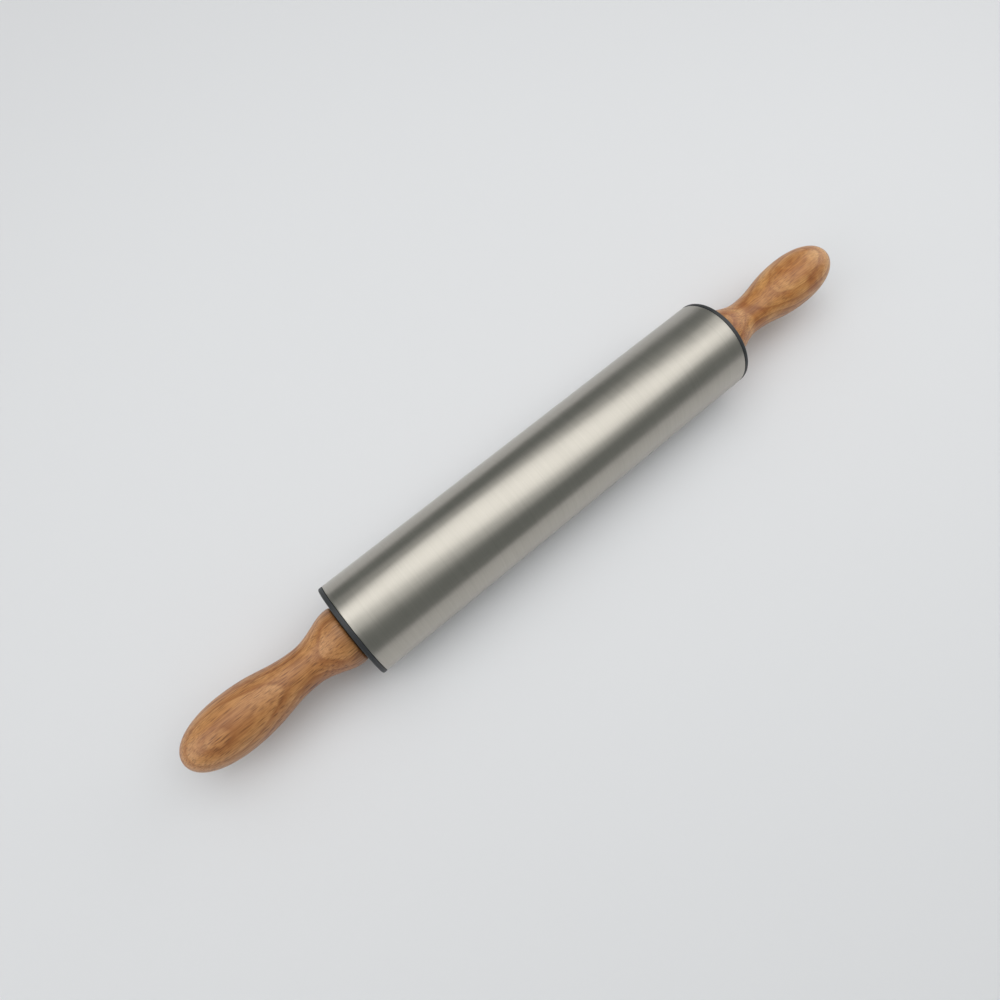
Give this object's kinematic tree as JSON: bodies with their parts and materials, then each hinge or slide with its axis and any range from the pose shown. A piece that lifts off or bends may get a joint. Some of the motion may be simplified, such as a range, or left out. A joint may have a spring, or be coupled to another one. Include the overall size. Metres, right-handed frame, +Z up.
{
  "type": "rolling pin",
  "caption": "Rolling pin with a satin steel barrel that turns on ball bearings between black end caps, held by turned wooden handles on a through axle.",
  "frame": {"origin": "middle of the barrel, on its axis", "axes": "+X along the axle towards the right handle, +Z up, with the pin lying on a table"},
  "size_m": [0.43, 0.0508, 0.0508],
  "materials": {
    "satin_steel": "satin stainless steel",
    "bearing_steel": "ground and polished bearing steel",
    "plated_steel": "bright zinc plated",
    "spring_steel": "phosphated spring steel",
    "black_plastic": "moulded, fine satin",
    "nylon": "moulded nylon",
    "beech": "turned, stained and lacquered beech"
  },
  "bodies": {
    "handles_and_axle": {"axle_rod": "plated_steel", "left_bearing_inner_ring": "bearing_steel", "left_retaining_clip": "spring_steel", "left_spacer_bush": "plated_steel", "left_threaded_insert": "plated_steel", "left_handle": "beech", "right_bearing_inner_ring": "bearing_steel", "right_retaining_clip": "spring_steel", "right_spacer_bush": "plated_steel", "right_threaded_insert": "plated_steel", "right_handle": "beech"},
    "barrel": {"barrel_tube": "satin_steel", "left_end_cap": "black_plastic", "left_bearing_outer_ring": "bearing_steel", "left_bearing_outer_shield": "bearing_steel", "left_bearing_inner_shield": "bearing_steel", "right_end_cap": "black_plastic", "right_bearing_outer_ring": "bearing_steel", "right_bearing_outer_shield": "bearing_steel", "right_bearing_inner_shield": "bearing_steel"},
    "left_ball_set": {"left_bearing_cage": "nylon", "left_bearing_ball_1": "bearing_steel", "left_bearing_ball_2": "bearing_steel", "left_bearing_ball_3": "bearing_steel", "left_bearing_ball_4": "bearing_steel", "left_bearing_ball_5": "bearing_steel", "left_bearing_ball_6": "bearing_steel", "left_bearing_ball_7": "bearing_steel"},
    "right_ball_set": {"right_bearing_cage": "nylon", "right_bearing_ball_1": "bearing_steel", "right_bearing_ball_2": "bearing_steel", "right_bearing_ball_3": "bearing_steel", "right_bearing_ball_4": "bearing_steel", "right_bearing_ball_5": "bearing_steel", "right_bearing_ball_6": "bearing_steel", "right_bearing_ball_7": "bearing_steel"}
  },
  "joints": [
    {"name": "barrel_spin", "type": "hinge", "parent": "handles_and_axle", "child": "barrel", "pos_m": [0, 0, 0], "axis": [1, 0, 0], "continuous": true},
    {"name": "left_ball_orbit", "type": "hinge", "parent": "handles_and_axle", "child": "left_ball_set", "pos_m": [-0.11715, 0, 0], "axis": [1, 0, 0], "continuous": true},
    {"name": "right_ball_orbit", "type": "hinge", "parent": "handles_and_axle", "child": "right_ball_set", "pos_m": [0.11715, 0, 0], "axis": [1, 0, 0], "continuous": true}
  ],
  "couplings": [
    {"joint": "left_ball_orbit", "follows": "barrel_spin", "ratio": 0.63146},
    {"joint": "right_ball_orbit", "follows": "barrel_spin", "ratio": 0.63146}
  ]
}
